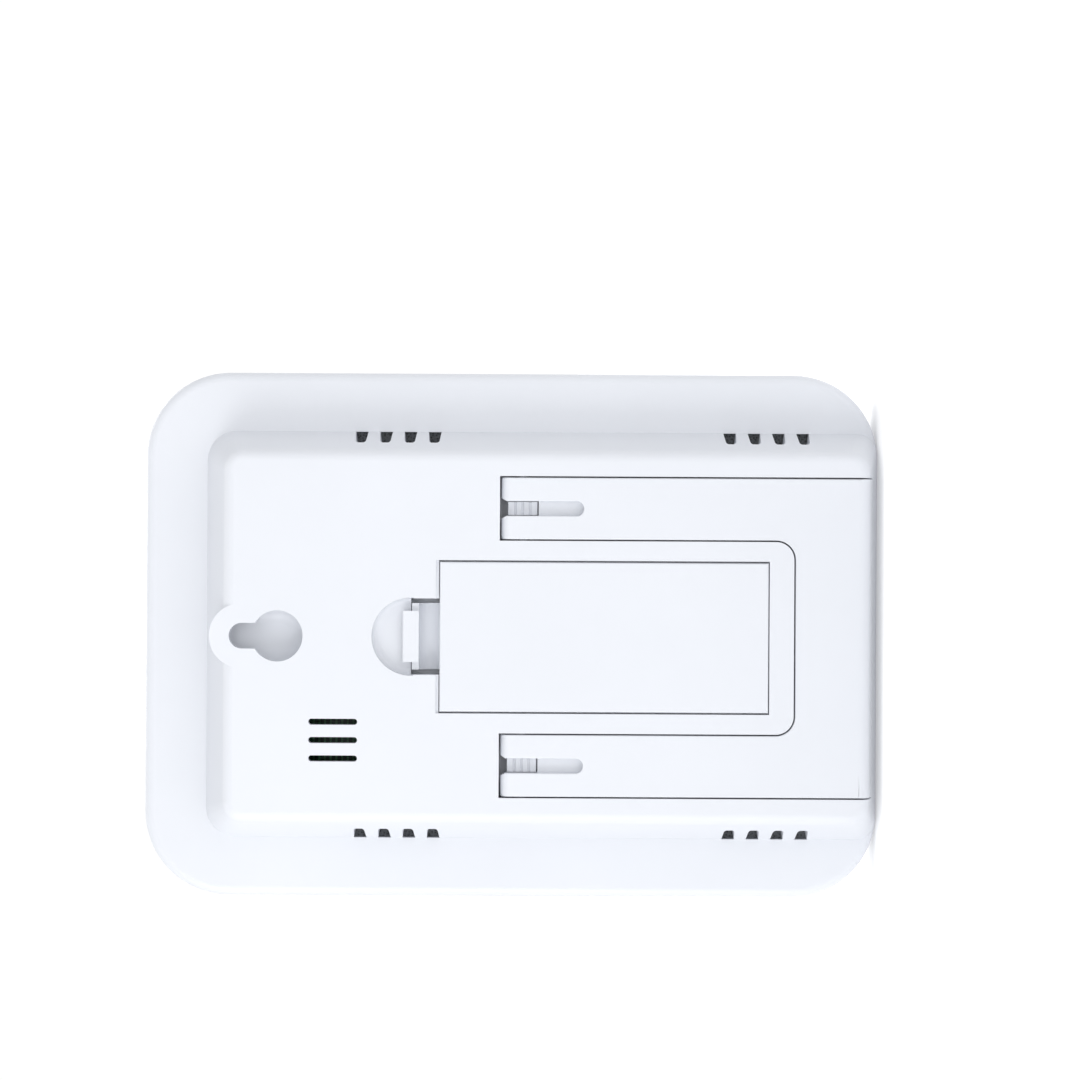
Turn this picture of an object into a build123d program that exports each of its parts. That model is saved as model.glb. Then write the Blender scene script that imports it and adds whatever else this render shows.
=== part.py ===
# Carbon monoxide alarm with a fold-out stand and a battery door, standing upright as used.
# Millimetres. +Z is up, the front face looks towards -Y and the back towards +Y.
# The origin is the centre of the body at the height of the surface that it stands on.
from build123d import *
from math import sqrt
import os

os.makedirs("parts", exist_ok=True)

# ---------------------------------------------------------------- body
body_width = 87.2
body_height = 122.0
body_depth = 25.0
corner_radius = 14.0
cover_wall = 2.0
front_edge_radius = 3.2
rim_edge_radius = 1.6
parting_y = -2.0
parting_groove = 0.3
lip_wall = 0.9
lip_height = 1.8
fit_gap = 0.12
snap_bead_length = 9.0
snap_bead_height = 0.35
snap_bead_width = 0.8
snap_bead_setback = 0.5
snap_side_spread = 31.0

# ---------------------------------------------------------------- hump on the back
hump_rise = 9.5
rim_side = 9.8
rim_top = 10.3
hump_floor_gap = 0.15
hump_side_taper = 3.6
hump_top_taper = 4.0
hump_bottom_taper = 2.3
hump_foot_radius = 5.0
hump_heel_radius = 3.5
hump_crest_radius = 3.0
hump_crest_round = 2.0

# ---------------------------------------------------------------- fold-out stand
stand_shoulder = 4.1
arm_width = 10.1
stand_thickness = 3.6
stand_edge_round = 0.2
crossbar_top = 14.4
stand_inner_radius = 3.2
pivot_z = 59.1
pivot_depth = 2.3
arm_end_reach = 3.5
arm_end_round = 1.4
pocket_floor_lift = 0.5
stand_seam = 0.24
arm_slot_width = 2.4
arm_slot_length = 6.1
arm_slot_flare = 0.5
arm_slot_mouth = 0.9
arm_slot_mouth_angle = 60.0
arm_groove_length = 13.5
arm_groove_depth = 1.4
pin_radius = 0.8
pin_length = 0.8
pin_clearance = 0.06
hinge_barrel_radius = 2.45
hinge_barrel_drop = 1.7
hinge_barrel_gap = 0.1
hinge_barrel_grooves = 3
hinge_groove_radius = 0.22
hinge_groove_pitch = 1.2
well_wall = 1.2

# ---------------------------------------------------------------- battery bay and door
cell_radius = 5.1
cell_length = 44.0
cell_nub_radius = 1.9
cell_nub_height = 0.9
cell_spacing = 1.2
cell_lift = 0.2
cell_cover = 1.1
contact_plate = 0.4
contact_leg_width = 2.0
contact_width = 8.0
contact_height = 9.0
contact_gap = 0.05
spring_radius = 3.2
spring_wire = 0.3
spring_turns = 4
spring_room = 4.5
bay_slack = 0.1
bay_side_gap = 0.8
bay_wall = 1.3
door_width = 24.5
door_length = 53.8
door_bottom = 18.8
door_thickness = 1.6
door_edge_round = 0.25
door_seam = 0.28
door_foot_seam = 0.15
door_step_width = 0.62
door_step_depth = 0.4
tab_spread = 7.0
tab_width = 4.0
tab_thickness = 0.8
tab_reach = 1.5
tab_gap = 0.2
tab_pocket_depth = 1.7
tab_pocket_gap = 0.4
door_rib_width = 1.2
door_rib_depth = 2.3
door_rib_inset = 7.0

# ---------------------------------------------------------------- door latch
latch_spring_width = 10.9
latch_leg = 0.8
latch_shoulder = 1.15
latch_bend_radius = 1.72
latch_bend_depth = 2.0
latch_lip_width = 8.4
latch_lip_reach = 1.55
latch_lip_drop = 0.6
latch_lip_thickness = 0.9
notch_width = 12.5
notch_length = 4.75
notch_depth = 5.0
notch_gap = 0.3
scoop_radius = 6.4
scoop_depth = 2.1
scoop_round = 1.0
scoop_overlap = 0.5

# ---------------------------------------------------------------- openings in the back
keyhole_slot_width = 4.2
keyhole_head_radius = 4.2
keyhole_drop = 5.8
keyhole_below_crest = 2.7
keyhole_plate = 1.4
keyhole_cup_depth = 4.2
keyhole_cup_gap = 0.25
keyhole_boss_wall = 0.9
keyhole_cup_wall = 0.8
keyhole_cup_round = 2.4
back_slot_width = 1.0
back_slot_length = 8.0
back_slot_pitch = 3.0
back_slot_count = 3
back_slot_drop = 1.0
vent_width = 2.1
vent_pitch = 4.05
vent_count = 4
vent_run = 1.95
vent_taper = 0.22
vent_round = 0.5
lower_vents_z = 12.6
upper_vents_z = 73.8

# ---------------------------------------------------------------- front face
window_width = 58.0
window_height = 34.0
window_radius = 4.0
window_z = 62.5
window_thickness = 1.0
window_ledge = 3.5
tape_thickness = 0.15
window_gap = 0.12
button_z = 26.0
button_radius = 8.0
button_gap = 0.25
button_dish_radius = 12.0
button_dish_depth = 0.7
button_flange = 1.2
button_edge_round = 0.5
button_travel = 0.5
button_stem_radius = 2.5
lamp_z = 91.0
lamp_pitch = 8.0
lamp_centre_x = -17.0
lamp_radius = 1.3
lamp_gap = 0.06
lamp_collar_radius = 2.1
sounder_x = 17.0
sounder_z = 91.0
grille_slot_width = 1.3
grille_pitch = 3.0
grille_rows = 5
grille_radius = 9.0

# ---------------------------------------------------------------- electronics
board_thickness = 1.6
board_back_y = -2.6
board_side_gap = 2.6
board_end_gap = 9.0
board_radius = 4.0
post_inset = 4.5
post_radius = 2.8
screw_radius = 1.1
screw_hole_gap = 0.05
screw_length = 6.0
screw_head_radius = 2.1
screw_head_height = 1.3
screw_recess_length = 2.5
screw_recess_width = 0.5
lcd_width = 50.0
lcd_height = 27.0
lcd_thickness = 2.0
holder_wall = 2.0
part_gap = 0.2
strip_width = 2.0
backlight_thickness = 1.5
sounder_radius = 12.0
sounder_wall = 1.2
gasket_thickness = 0.3
disc_thickness = 0.4
led_length = 2.0
led_width = 1.25
led_height = 1.2
switch_size = 6.0
switch_height = 3.5
plunger_radius = 1.7
plunger_out = 0.7
sensor_x = 21.0
sensor_z = 18.0
sensor_radius = 6.5
sensor_height = 8.4
sensor_cap_height = 0.8
screen_thickness = 0.8
screen_margin = 0.7
chip_size = 10.0
chip_height = 1.4
chip_pins = 6
chip_pin_pitch = 1.4
chip_pin_width = 0.5
chip_pin_length = 1.4
capacitor_radius = 3.15
capacitor_height = 6.0
inductor_radius = 4.0
inductor_core_radius = 3.2
inductor_height = 5.0
crystal_length = 11.0
crystal_height = 3.5
small_chip_length = 5.0
small_chip_width = 4.0
small_chip_pitch = 8.0

# ---------------------------------------------------------------- planes worked out from these
front_y = -body_depth / 2
back_y = body_depth / 2
rim_y = back_y - hump_rise
front_inner_y = front_y + cover_wall
back_inner_y = back_y - cover_wall
board_front_y = board_back_y - board_thickness
hump_foot_half = body_width / 2 - rim_side
hump_foot_top = body_height - rim_top
hump_crest_half = hump_foot_half - hump_side_taper
hump_crest_top = hump_foot_top - hump_top_taper
stand_half = hump_crest_half - stand_shoulder
stand_inner_half = stand_half - arm_width
stand_under_y = back_y - stand_thickness
arm_top = pivot_z + arm_end_reach
arm_x = stand_half - arm_width / 2
pivot_y = back_y - pivot_depth
well_floor_y = stand_under_y - stand_seam
pocket_floor_y = pivot_y - arm_end_reach + pocket_floor_lift
door_top = door_bottom + door_length
door_under_y = back_y - door_thickness
bay_floor_y = door_under_y - cell_cover - 2 * cell_radius - cell_lift
cell_pitch = 2 * cell_radius + cell_spacing
bay_half = cell_pitch / 2 + cell_radius + bay_side_gap
bay_length = cell_length + spring_room + 2 * contact_plate + bay_slack
bay_bottom = door_bottom + (door_length - bay_length) / 2
bay_top = bay_bottom + bay_length
cell_y = bay_floor_y + cell_lift + cell_radius
slot_end_z = hump_crest_top - keyhole_below_crest
head_z = slot_end_z - keyhole_drop
cup_radius = keyhole_head_radius + keyhole_cup_gap
boss_radius = cup_radius + keyhole_boss_wall
notch_top = door_top + notch_length
scoop_z = notch_top
tab_y = door_under_y - tab_gap - tab_thickness
bend_y = back_y - latch_bend_depth
bend_z = door_top + latch_bend_radius
latch_z = bend_z + latch_bend_radius + latch_shoulder
latch_top_y = back_y - latch_lip_drop
shoulder_top_y = latch_top_y - latch_lip_thickness
board_width = body_width - 2 * board_side_gap - 2 * cover_wall
board_height = body_height - 2 * board_end_gap
board_z = body_height / 2
posts_x = board_width / 2 - post_inset
posts_z = board_height / 2 - post_inset
snap_heights = (body_height / 2 - snap_side_spread, body_height / 2 + snap_side_spread)
lcd_y = front_inner_y + part_gap


def level(y):
    """The upright plane at depth y, with its own X across and its own Y up."""
    return Plane.XZ.offset(-y)


def across(x):
    """The upright plane at x, with its own X along the depth and its own Y up."""
    return Plane.YZ.offset(x)


def plate(width, height, radius, x, z, y0, y1, mode=Mode.ADD):
    """A rounded upright plate centred at x and z, from depth y0 to depth y1."""
    with BuildSketch(level(y0)) as profile:
        with Locations((x, z)):
            RectangleRounded(width, height, radius)
    extrude(profile.sketch, amount=y0 - y1, mode=mode)


def block(x0, x1, y0, y1, z0, z1, mode=Mode.ADD):
    """A block given by its six faces."""
    with Locations(((x0 + x1) / 2, (y0 + y1) / 2, (z0 + z1) / 2)):
        Box(x1 - x0, y1 - y0, z1 - z0, mode=mode)


def bar(x, z, radius, y0, y1, mode=Mode.ADD):
    """A round bar along the depth."""
    with BuildSketch(level(y0)) as profile:
        with Locations((x, z)):
            Circle(radius)
    extrude(profile.sketch, amount=y0 - y1, mode=mode)


def rod(y, z, radius, x0, x1, mode=Mode.ADD):
    """A round rod across the body."""
    with BuildSketch(across(x0)) as profile:
        with Locations((y, z)):
            Circle(radius)
    extrude(profile.sketch, amount=x1 - x0, mode=mode)


def body_plate(inset, y0, y1, mode=Mode.ADD):
    """The body's outline, drawn in by inset."""
    plate(
        body_width - 2 * inset,
        body_height - 2 * inset,
        corner_radius - inset,
        0,
        body_height / 2,
        y0,
        y1,
        mode,
    )


def hump_foot(inset):
    """The hump's outline where it leaves the rim."""
    low = hump_floor_gap + inset
    high = hump_foot_top - inset
    with Locations((0, (low + high) / 2)):
        Rectangle(2 * (hump_foot_half - inset), high - low)
    fillet(vertices().group_by(Axis.Y)[-1], hump_foot_radius - inset)
    fillet(vertices().group_by(Axis.Y)[0], hump_heel_radius - inset)


def hump_crest(inset):
    """The hump's outline at its flat back."""
    low = hump_floor_gap + hump_bottom_taper + inset
    high = hump_crest_top - inset
    with Locations((0, (low + high) / 2)):
        Rectangle(2 * (hump_crest_half - inset), high - low)
    fillet(vertices().group_by(Axis.Y)[-1], hump_crest_radius - inset)
    fillet(vertices().group_by(Axis.Y)[0], hump_crest_radius - inset)


def stand_outline(gap, tail, top):
    """The stand's U shape, grown by gap, with its crossbar carried down to tail."""
    half = stand_half + gap
    with Locations((0, (tail + top) / 2)):
        Rectangle(2 * half, top - tail)
    inner_half = stand_inner_half - gap
    inner_low = crossbar_top + gap
    inner_top = top + arm_width
    with BuildSketch(mode=Mode.PRIVATE) as opening:
        with Locations((0, (inner_low + inner_top) / 2)):
            Rectangle(2 * inner_half, inner_top - inner_low)
        fillet(opening.vertices().group_by(Axis.Y)[0], stand_inner_radius - gap)
    add(opening.sketch, mode=Mode.SUBTRACT)


def keyhole_outline(grow):
    """The keyhole: a round head opening with a slot above it, grown all round."""
    with Locations((0, head_z)):
        Circle(keyhole_head_radius + grow)
    with Locations((0, (head_z + slot_end_z) / 2)):
        Rectangle(keyhole_slot_width + 2 * grow, keyhole_drop)
    with Locations((0, slot_end_z)):
        Circle(keyhole_slot_width / 2 + grow)


def cup_outline(grow):
    """The space behind the keyhole that a screw head slides in."""
    with Locations((0, (head_z + slot_end_z) / 2)):
        SlotCenterToCenter(keyhole_drop, 2 * (cup_radius + grow), rotation=90)


def scoop_outline(grow):
    """The half-round finger scoop above the latch notch."""
    with Locations((0, scoop_z)):
        Circle(scoop_radius + grow)
    cut_height = 2 * (scoop_radius + grow)
    with Locations((0, scoop_z - scoop_overlap - cut_height / 2)):
        Rectangle(2 * cut_height, cut_height, mode=Mode.SUBTRACT)


def vent_hole(side, z):
    """One air vent through the hump's side: flat at the foot, narrower and rounded above it."""
    foot = side * hump_foot_half
    top = side * (hump_foot_half - vent_run)
    half = vent_width / 2
    with BuildSketch(level(rim_y - 2 * cover_wall)) as profile:
        with Locations((0, z)):
            Polygon(
                (foot, -half), (foot, half), (top, half - vent_taper), (top, vent_taper - half), align=None
            )
        upper_corners = 0 if side > 0 else -1
        fillet(profile.vertices().group_by(Axis.X)[upper_corners], vent_round)
    extrude(profile.sketch, amount=-(hump_rise + cover_wall), mode=Mode.SUBTRACT)


def contact_slot(side, y0, y1):
    """The slot that a cell contact's leg passes through."""
    half = contact_leg_width / 2 + part_gap
    middle = side * cell_pitch / 2
    low = bay_top - contact_plate - 2 * part_gap
    block(middle - half, middle + half, y0, y1, low, bay_top, Mode.SUBTRACT)


def snap_bead(side, z, grow, mode=Mode.ADD):
    """A snap bead on the outside of the front cover's lip, or its groove when grown."""
    lip_outer = body_width / 2 - cover_wall + lip_wall
    near = lip_outer - lip_wall / 2
    far = lip_outer + snap_bead_height + grow
    block(min(side * near, side * far), max(side * near, side * far),
          parting_y + snap_bead_setback - grow, parting_y + snap_bead_setback + snap_bead_width + grow,
          z - snap_bead_length / 2 - grow, z + snap_bead_length / 2 + grow, mode)


# ---------------------------------------------------------------- hump solids
# The outer form of the hump, carried forward into the rim so that its foot is joined all round.
with BuildPart() as hump_outer:
    with BuildSketch(level(rim_y)):
        hump_foot(0)
    with BuildSketch(level(back_y)):
        hump_crest(0)
    loft()
    fillet(hump_outer.faces().sort_by(Axis.Y)[-1].edges(), hump_crest_round)
    with BuildSketch(level(rim_y - cover_wall)):
        hump_foot(0)
    extrude(amount=-cover_wall)

with BuildPart() as hump_inner:
    with BuildSketch(level(rim_y - cover_wall)):
        hump_foot(cover_wall)
    with BuildSketch(level(back_inner_y)):
        hump_crest(cover_wall)
    loft()

# The stand's well: walls round the sunk U, cut to the hump's outer form.
with BuildPart() as stand_well:
    with BuildSketch(level(well_floor_y - well_wall)):
        stand_outline(stand_seam + well_wall, -corner_radius, arm_top + stand_seam + well_wall)
    extrude(amount=-(back_y - well_floor_y))
    for side in (-1, 1):
        block(
            side * arm_x - arm_width / 2 - stand_seam - well_wall,
            side * arm_x + arm_width / 2 + stand_seam + well_wall,
            pocket_floor_y - well_wall,
            well_floor_y,
            pivot_z - arm_end_reach,
            arm_top + stand_seam + well_wall,
        )
    add(hump_outer.part, mode=Mode.INTERSECT)

# The finger scoop and the keyhole's cup, as the shapes to cut away.
with BuildPart() as scoop_tool:
    with BuildSketch(level(back_y - scoop_depth)):
        scoop_outline(0)
    extrude(amount=-(scoop_depth + 1))
    fillet(scoop_tool.faces().sort_by(Axis.Y)[0].edges().filter_by(GeomType.CIRCLE), scoop_round)

with BuildPart() as cup_tool:
    with BuildSketch(level(back_y - keyhole_cup_depth)):
        cup_outline(0)
    extrude(amount=-(keyhole_cup_depth - keyhole_plate))
    fillet(cup_tool.faces().sort_by(Axis.Y)[0].edges(), keyhole_cup_round)

# ---------------------------------------------------------------- rear cover
with BuildPart() as rear_cover:
    body_plate(0, parting_y + parting_groove / 2, rim_y)
    fillet(rear_cover.faces().sort_by(Axis.Y)[-1].edges(), rim_edge_radius)
    add(hump_outer.part)
    body_plate(cover_wall, parting_y, rim_y - cover_wall, Mode.SUBTRACT)
    add(hump_inner.part, mode=Mode.SUBTRACT)
    # Rebate that takes the front cover's lip.
    rebate = cover_wall - lip_wall - fit_gap
    body_plate(rebate, parting_y, parting_y + lip_height + fit_gap, Mode.SUBTRACT)
    # Walls that stand inside the shell.
    add(stand_well.part)
    inside_y = back_y - cover_wall / 2
    bay_outer = bay_half + bay_wall
    block(-bay_outer, bay_outer, bay_floor_y - bay_wall, inside_y, bay_bottom - bay_wall, bay_top + bay_wall)
    block(-bay_outer, bay_outer, tab_y - tab_pocket_depth - bay_wall, inside_y,
          door_bottom - tab_reach - tab_pocket_gap - bay_wall, door_top)
    notch_outer = notch_width / 2 + bay_wall
    block(-notch_outer, notch_outer, back_y - notch_depth - bay_wall, inside_y,
          door_top - bay_wall, notch_top + bay_wall)
    with BuildSketch(level(back_y - scoop_depth - well_wall)):
        scoop_outline(well_wall)
    extrude(amount=-(scoop_depth + well_wall - cover_wall / 2))
    # Keyhole boss and the closed cup behind it.
    cup_floor_y = back_y - keyhole_cup_depth
    with BuildSketch(level(cup_floor_y - keyhole_cup_wall)):
        cup_outline(keyhole_cup_wall)
    extrude(amount=-(keyhole_cup_depth + keyhole_cup_wall - cover_wall / 2))
    bar(0, slot_end_z, boss_radius, cup_floor_y - keyhole_boss_wall, back_y)
    # The stand's well, open to the back and to the bottom, and the pockets its arm ends turn in.
    with BuildSketch(level(well_floor_y)):
        stand_outline(stand_seam, -corner_radius, arm_top + stand_seam)
    extrude(amount=-(back_y - well_floor_y + 1), mode=Mode.SUBTRACT)
    for side in (-1, 1):
        pocket_half = arm_width / 2 + stand_seam
        block(side * arm_x - pocket_half, side * arm_x + pocket_half, pocket_floor_y, back_y,
              pivot_z - arm_end_reach, arm_top + stand_seam, Mode.SUBTRACT)
        socket_half = arm_width / 2 + pin_length + 2 * pin_clearance
        rod(pivot_y, pivot_z, pin_radius + pin_clearance, side * arm_x - socket_half,
            side * arm_x + socket_half, Mode.SUBTRACT)
        # Ribbed barrel between the two prongs of the arm's end.
        barrel_left = side * arm_x - arm_slot_width / 2 + hinge_barrel_gap
        barrel_right = side * arm_x + arm_slot_width / 2 - hinge_barrel_gap
        barrel_back_y = back_y - hinge_barrel_drop
        rod(pivot_y, pivot_z, hinge_barrel_radius, barrel_left, barrel_right)
        block(barrel_left, barrel_right, pocket_floor_y - well_wall / 2, pivot_y,
              pivot_z - hinge_barrel_radius, pivot_z + hinge_barrel_radius)
        block(barrel_left, barrel_right, barrel_back_y, pivot_y + 2 * hinge_barrel_radius,
              pivot_z - hinge_barrel_radius, pivot_z + hinge_barrel_radius, Mode.SUBTRACT)
        for groove in range(hinge_barrel_grooves):
            rise = (groove - (hinge_barrel_grooves - 1) / 2) * hinge_groove_pitch
            rod(barrel_back_y, pivot_z + rise, hinge_groove_radius, barrel_left, barrel_right, Mode.SUBTRACT)
    # Battery bay, the door's opening and the pockets for the door's tabs.
    block(-bay_half, bay_half, bay_floor_y, back_y + 1, bay_bottom, bay_top, Mode.SUBTRACT)
    opening_half = door_width / 2 + door_seam
    block(-opening_half, opening_half, door_under_y - door_foot_seam, back_y + 1,
          door_bottom - door_foot_seam, door_top + door_foot_seam, Mode.SUBTRACT)
    block(-opening_half, opening_half, back_y - door_step_depth, back_y + 1,
          door_top, door_top + door_step_width, Mode.SUBTRACT)
    for side in (-1, 1):
        tab_pocket_half = tab_width / 2 + tab_pocket_gap
        block(side * tab_spread - tab_pocket_half, side * tab_spread + tab_pocket_half,
              tab_y - tab_pocket_depth, door_under_y + tab_gap,
              door_bottom - tab_reach - tab_pocket_gap, bay_bottom + 1, Mode.SUBTRACT)
        contact_slot(side, bay_floor_y - 2 * bay_wall, bay_floor_y + 1)
    # Latch notch.
    block(-notch_width / 2, notch_width / 2, back_y - notch_depth, back_y + 1,
          door_top - latch_leg - notch_gap, notch_top, Mode.SUBTRACT)
    add(scoop_tool.part, mode=Mode.SUBTRACT)
    # Keyhole.
    add(cup_tool.part, mode=Mode.SUBTRACT)
    with BuildSketch(level(back_y - keyhole_plate - 1)):
        keyhole_outline(0)
    extrude(amount=-(keyhole_plate + 2), mode=Mode.SUBTRACT)
    # Sound slots in the back and air vents along the foot of each side wall.
    for slot in range(back_slot_count):
        slot_x = sounder_x + (slot - (back_slot_count - 1) / 2) * back_slot_pitch
        with BuildSketch(level(back_inner_y - 1)):
            with Locations((slot_x, sounder_z - back_slot_drop)):
                SlotOverall(back_slot_length, back_slot_width, rotation=90)
        extrude(amount=-(cover_wall + 2), mode=Mode.SUBTRACT)
    for side in (-1, 1):
        for first_z in (lower_vents_z, upper_vents_z):
            for vent in range(vent_count):
                vent_hole(side, first_z + vent * vent_pitch)
    # Grooves that the front cover's snap beads drop into.
    for side in (-1, 1):
        for bead_z in snap_heights:
            snap_bead(side, bead_z, fit_gap, Mode.SUBTRACT)

rear_cover.part.label = "rear_cover"
export_step(rear_cover.part, "parts/rear_cover.step")

# ---------------------------------------------------------------- front cover
opening_width = window_width - 2 * window_ledge
opening_height = window_height - 2 * window_ledge
window_seat_y = front_y + window_thickness + tape_thickness
lamps = {"power": -1, "fault": 0, "alarm": 1}
dish_sphere = (button_dish_radius**2 + button_dish_depth**2) / (2 * button_dish_depth)

with BuildPart() as front_cover:
    body_plate(0, front_y, parting_y - parting_groove / 2)
    fillet(front_cover.faces().sort_by(Axis.Y)[0].edges(), front_edge_radius)
    body_plate(cover_wall - lip_wall, parting_y - cover_wall, parting_y + lip_height)
    body_plate(cover_wall, front_inner_y, parting_y + lip_height, Mode.SUBTRACT)
    for side in (-1, 1):
        for bead_z in snap_heights:
            snap_bead(side, bead_z, 0)
    # Window seat with its opening for the display.
    plate(window_width + 2 * window_gap, window_height + 2 * window_gap, window_radius + window_gap,
          0, window_z, front_y, window_seat_y, Mode.SUBTRACT)
    plate(opening_width, opening_height, window_ledge / 2, 0, window_z, front_y, front_inner_y, Mode.SUBTRACT)
    # Button dish, its hole and the guide ring inside.
    with Locations((0, front_y + button_dish_depth - dish_sphere, button_z)):
        Sphere(dish_sphere, mode=Mode.SUBTRACT)
    guide_radius = button_radius + 2 * button_flange
    bar(0, button_z, guide_radius, front_inner_y, front_inner_y + 2 * button_flange)
    bar(0, button_z, guide_radius - button_flange + part_gap, front_inner_y,
        front_inner_y + 2 * button_flange, Mode.SUBTRACT)
    bar(0, button_z, button_radius + button_gap, front_y, front_inner_y, Mode.SUBTRACT)
    # Lamp holes.
    for place in lamps.values():
        bar(lamp_centre_x + place * lamp_pitch, lamp_z, lamp_radius + lamp_gap,
            front_y, front_inner_y, Mode.SUBTRACT)
    # Sounder grille: level slots that fill a circle.
    for row in range(grille_rows):
        rise = (row - (grille_rows - 1) / 2) * grille_pitch
        with BuildSketch(level(front_y)):
            with Locations((sounder_x, sounder_z + rise)):
                SlotOverall(2 * sqrt(grille_radius**2 - rise**2), grille_slot_width)
        extrude(amount=-cover_wall, mode=Mode.SUBTRACT)
    # Posts that carry the main board.
    for across_side in (-1, 1):
        for up_side in (-1, 1):
            post_x = across_side * posts_x
            post_z = board_z + up_side * posts_z
            bar(post_x, post_z, post_radius, front_inner_y - cover_wall / 4, board_front_y)
            bar(post_x, post_z, screw_radius + screw_hole_gap, board_back_y - screw_length - part_gap,
                board_front_y, Mode.SUBTRACT)

front_cover.part.label = "front_cover"
export_step(front_cover.part, "parts/front_cover.step")

# ---------------------------------------------------------------- stand
with BuildPart() as stand:
    with BuildSketch(level(stand_under_y)):
        stand_outline(0, -corner_radius, arm_top)
    extrude(amount=-stand_thickness)
    for side in (-1, 1):
        # Slot through the arm's end, with its flared mouth, and the groove that carries it on.
        with BuildSketch(level(stand_under_y - 1)):
            with Locations((side * arm_x, arm_top - arm_slot_length / 2)):
                Rectangle(arm_slot_width, arm_slot_length)
            with Locations((side * arm_x, arm_top - arm_slot_mouth / 2)):
                Trapezoid(
                    arm_slot_width + 2 * arm_slot_flare, arm_slot_mouth, arm_slot_mouth_angle, rotation=180
                )
        extrude(amount=-(stand_thickness + 2), mode=Mode.SUBTRACT)
        groove_end = arm_top - arm_groove_length + arm_slot_width / 2
        with BuildSketch(level(back_y - arm_groove_depth)):
            with Locations((side * arm_x, groove_end)):
                Circle(arm_slot_width / 2)
            with Locations((side * arm_x, (groove_end + arm_top) / 2)):
                Rectangle(arm_slot_width, arm_top - groove_end)
        extrude(amount=-(arm_groove_depth + 1), mode=Mode.SUBTRACT)
    fillet(stand.edges().filter_by(Axis.X).group_by(Axis.Z)[-1], arm_end_round)
    fillet(stand.faces().filter_by(Plane.XZ).sort_by(Axis.Y)[-1].edges(), stand_edge_round)
    # The lower end takes the hump's own form.
    add(hump_outer.part, mode=Mode.INTERSECT)
    for side in (-1, 1):
        for face in (-1, 1):
            pin_root = side * arm_x + face * (arm_width / 2 - pin_length)
            pin_tip = side * arm_x + face * (arm_width / 2 + pin_length)
            rod(pivot_y, pivot_z, pin_radius, min(pin_root, pin_tip), max(pin_root, pin_tip))

stand.part.label = "stand"
export_step(stand.part, "parts/stand.step")

# ---------------------------------------------------------------- battery door and its latch
with BuildPart() as battery_door:
    block(-door_width / 2, door_width / 2, door_under_y, back_y, door_bottom, door_top)
    fillet(battery_door.faces().sort_by(Axis.Y)[-1].edges(), door_edge_round)
    block(-door_rib_width / 2, door_rib_width / 2, door_under_y - door_rib_depth, door_under_y,
          door_bottom + door_rib_inset, door_top - door_rib_inset)
    for side in (-1, 1):
        tab_left = side * tab_spread - tab_width / 2
        tab_right = side * tab_spread + tab_width / 2
        block(tab_left, tab_right, tab_y, tab_y + tab_thickness,
              door_bottom - tab_reach, door_bottom + 2 * tab_thickness)
        block(tab_left, tab_right, tab_y, door_under_y, door_bottom, door_bottom + 2 * tab_thickness)
    # The first leg of the latch's U spring and the near half of its bend.
    with BuildSketch(across(-latch_spring_width / 2)):
        with Locations((bend_y, bend_z)):
            Circle(latch_bend_radius + latch_leg)
            Circle(latch_bend_radius, mode=Mode.SUBTRACT)
        with Locations((bend_y, bend_z + latch_bend_radius)):
            Rectangle(body_depth, 2 * latch_bend_radius, mode=Mode.SUBTRACT)
        with Locations((bend_y + latch_bend_radius + latch_leg, bend_z)):
            Rectangle(2 * (latch_bend_radius + latch_leg), body_depth, mode=Mode.SUBTRACT)
        with Locations(((bend_y + door_under_y) / 2, door_top - latch_leg / 2)):
            Rectangle(door_under_y - bend_y, latch_leg)
    extrude(amount=latch_spring_width)

battery_door.part.label = "battery_door"
export_step(battery_door.part, "parts/battery_door.step")

with BuildPart() as door_latch:
    # The far half of the bend and the second leg.
    with BuildSketch(across(-latch_spring_width / 2)):
        with Locations((bend_y, bend_z)):
            Circle(latch_bend_radius + latch_leg)
            Circle(latch_bend_radius, mode=Mode.SUBTRACT)
        with Locations((bend_y, bend_z - latch_bend_radius)):
            Rectangle(body_depth, 2 * latch_bend_radius, mode=Mode.SUBTRACT)
        with Locations((bend_y + latch_bend_radius + latch_leg, bend_z)):
            Rectangle(2 * (latch_bend_radius + latch_leg), body_depth, mode=Mode.SUBTRACT)
        with Locations(((bend_y + shoulder_top_y) / 2, latch_z - latch_shoulder / 2)):
            Rectangle(shoulder_top_y - bend_y, latch_shoulder)
    extrude(amount=latch_spring_width)
    # Finger lip.
    block(-latch_lip_width / 2, latch_lip_width / 2, shoulder_top_y, latch_top_y,
          latch_z - latch_shoulder, latch_z + latch_lip_reach)
    fillet(door_latch.edges().filter_by(Axis.X).group_by(Axis.Z)[-1], latch_lip_thickness / 3)

door_latch.part.label = "door_latch"
export_step(door_latch.part, "parts/door_latch.step")

# ---------------------------------------------------------------- display
with BuildPart() as display_window:
    plate(window_width, window_height, window_radius, 0, window_z, front_y, front_y + window_thickness)
    chamfer(display_window.faces().sort_by(Axis.Y)[0].edges(), window_gap)

display_window.part.label = "display_window"
export_step(display_window.part, "parts/display_window.step")

with BuildPart() as window_tape:
    plate(window_width, window_height, window_radius, 0, window_z, front_y + window_thickness, window_seat_y)
    plate(opening_width, opening_height, window_ledge / 2, 0, window_z,
          front_y + window_thickness, window_seat_y, Mode.SUBTRACT)

window_tape.part.label = "window_tape"
export_step(window_tape.part, "parts/window_tape.step")

lcd_back_y = lcd_y + lcd_thickness
with BuildPart() as lcd_glass:
    block(-lcd_width / 2, lcd_width / 2, lcd_y, lcd_y + lcd_thickness / 2,
          window_z - lcd_height / 2, window_z + lcd_height / 2)
    block(-lcd_width / 2, lcd_width / 2, lcd_y + lcd_thickness / 2, lcd_back_y,
          window_z - lcd_height / 2 + strip_width, window_z + lcd_height / 2 - strip_width)

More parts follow.
